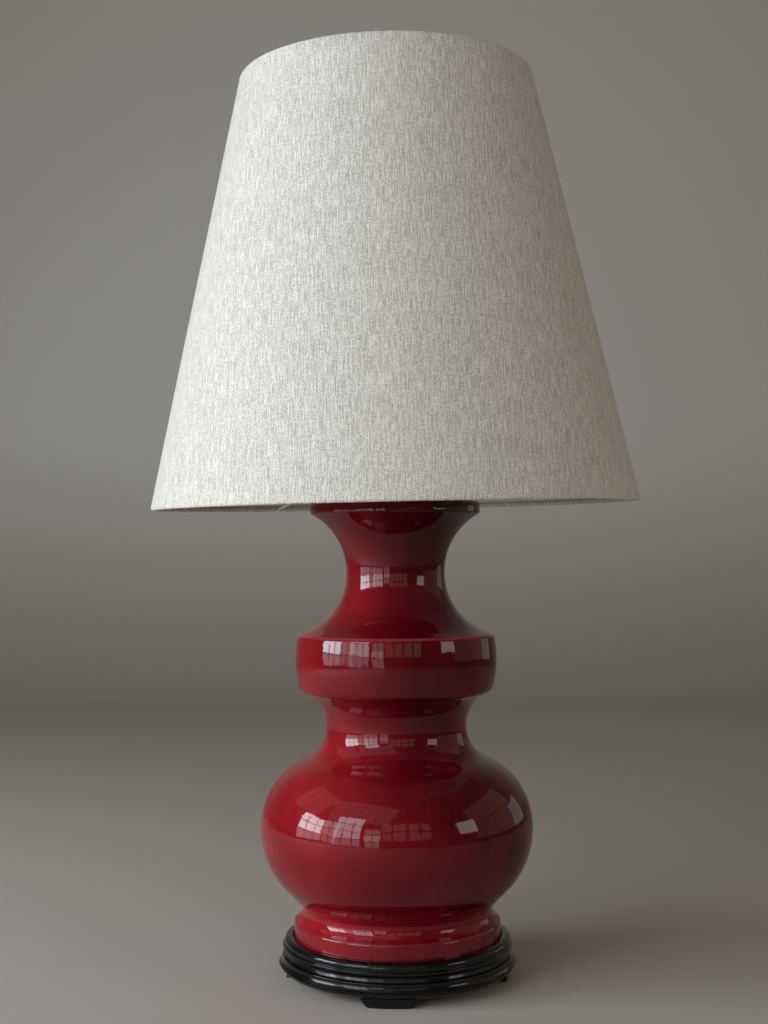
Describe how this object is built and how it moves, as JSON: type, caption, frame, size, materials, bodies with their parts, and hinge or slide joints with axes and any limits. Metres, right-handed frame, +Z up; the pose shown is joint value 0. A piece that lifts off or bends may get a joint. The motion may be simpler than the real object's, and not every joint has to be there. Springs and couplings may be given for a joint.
{
  "type": "table lamp",
  "caption": "Table lamp with a tapered linen shade, a tiered glazed ceramic body and a low black turned stand on bracket feet.",
  "frame": {"origin": "on the table, under the middle of the lamp", "axes": "+Z up, -Y to the front, +X to the viewer's right"},
  "size_m": [0.4999, 0.4998, 0.9255],
  "materials": {
    "glaze": "high gloss dark red glaze, thinner and paler at the edges",
    "lacquer": "satin black lacquer over turned wood",
    "felt": "short dark baize",
    "steel": "zinc plated",
    "cork": "pressed cork",
    "bush": "moulded black",
    "brass": "polished, lightly aged",
    "holder": "moulded black phenolic",
    "button": "moulded ivory",
    "porcelain": "unglazed white insulator",
    "bulb_glass": "clear",
    "bulb_metal": "nickel plated",
    "bulb_black": "vitrified insulator",
    "filament": "phosphor-coated rods",
    "linen": "natural slub linen",
    "liner": "stiff white lampshade film",
    "wire": "white coated wire"
  },
  "bodies": {
    "base": {"body_gasket": "cork", "cable_bush": "bush", "cap_gasket": "felt", "cap_nut": "brass", "centre_contact": "brass", "ceramic_body": "glaze", "foot_back": "lacquer", "foot_front": "lacquer", "foot_left": "lacquer", "foot_right": "lacquer", "foot_screws": "steel", "holder_cap": "holder", "holder_core": "porcelain", "holder_skirt": "holder", "lamp_rod": "steel", "pad_back": "felt", "pad_front": "felt", "pad_left": "felt", "pad_right": "felt", "rod_nut": "steel", "rod_washer": "steel", "screw_shell": "brass", "shade_ring_lower": "holder", "stand_body": "lacquer", "terminal_screws": "brass", "underside_felt": "felt", "vase_cap": "brass"},
    "switch": {"switch_bar": "button"},
    "clamp_ring": {"shade_ring_upper": "holder"},
    "bulb": {"bulb_glass": "bulb_glass", "bulb_cap": "bulb_metal", "bulb_insulator": "bulb_black", "bulb_contact": "bulb_metal", "bulb_stem": "bulb_glass", "bulb_filaments": "filament"},
    "shade": {"shade_linen": "linen", "shade_liner": "liner", "shade_wire_bottom": "wire", "shade_wire_top": "wire", "shade_spoke_1": "wire", "shade_spoke_2": "wire", "shade_spoke_3": "wire", "shade_collar": "wire"}
  },
  "joints": [
    {"name": "switch_push", "type": "slide", "parent": "base", "child": "switch", "axis": [1, 0, 0], "range_m": [0, 0.006]},
    {"name": "clamp_ring_turn", "type": "hinge", "parent": "base", "child": "clamp_ring", "pos_m": [0, 0, 0.536], "axis": [0, 0, 1], "continuous": true},
    {"name": "bulb_turn", "type": "hinge", "parent": "base", "child": "bulb", "pos_m": [0, 0, 0.58], "axis": [0, 0, 1], "continuous": true},
    {"name": "shade_turn", "type": "hinge", "parent": "base", "child": "shade", "pos_m": [0, 0, 0.5318], "axis": [0, 0, 1], "continuous": true}
  ]
}
